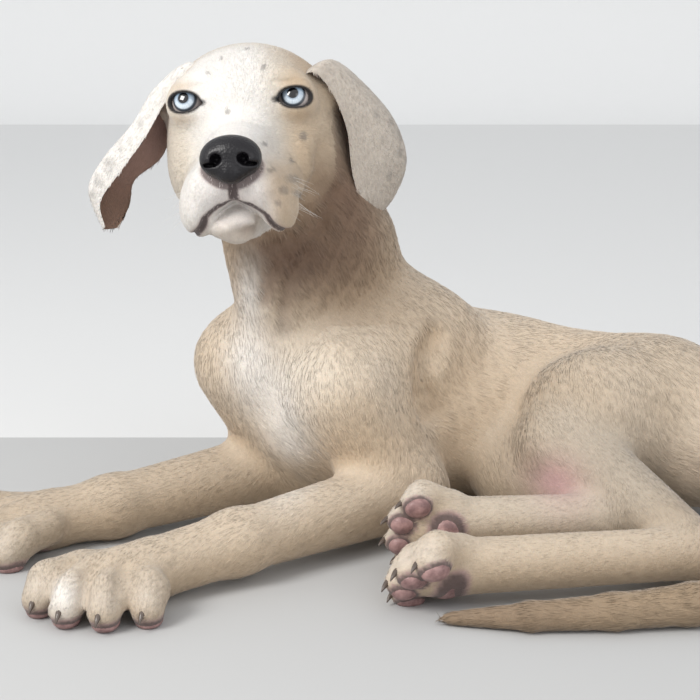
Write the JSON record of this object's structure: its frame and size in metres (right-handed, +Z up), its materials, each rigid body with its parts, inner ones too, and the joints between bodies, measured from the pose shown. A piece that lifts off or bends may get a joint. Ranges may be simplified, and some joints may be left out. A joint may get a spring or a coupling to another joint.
{
  "type": "great dane puppy figure",
  "caption": "Life-size still model of a short-haired fawn puppy with blue eyes, lying down with its head raised, fore legs stretched ahead, hips rolled and tail curled round on the floor.",
  "frame": {"origin": "on the floor, under the middle of the model's box", "axes": "+X runs from the head end to the rump, +Y away from the side the animal's chest and belly face, +Z up"},
  "size_m": [0.5154, 0.318, 0.2915],
  "materials": {
    "coat": "short flat fur, fawn to cream",
    "nose": "black, moist, pebbled",
    "eye": "glossy, pale blue iris",
    "claw": "satin horn",
    "pad": "mauve skin, grained"
  },
  "bodies": {
    "root": {"head": "coat", "neck": "coat", "torso": "coat", "tail": "coat", "ear_left": "coat", "ear_right": "coat", "upper_arm_left": "coat", "upper_arm_right": "coat", "foreleg_left": "coat", "foreleg_right": "coat", "fore_paw_left": "coat", "fore_paw_right": "coat", "thigh_left": "coat", "thigh_right": "coat", "shank_left": "coat", "shank_right": "coat", "hind_paw_left": "coat", "hind_paw_right": "coat", "nose": "nose", "eye_left": "eye", "eye_right": "eye"}
  },
  "joints": []
}
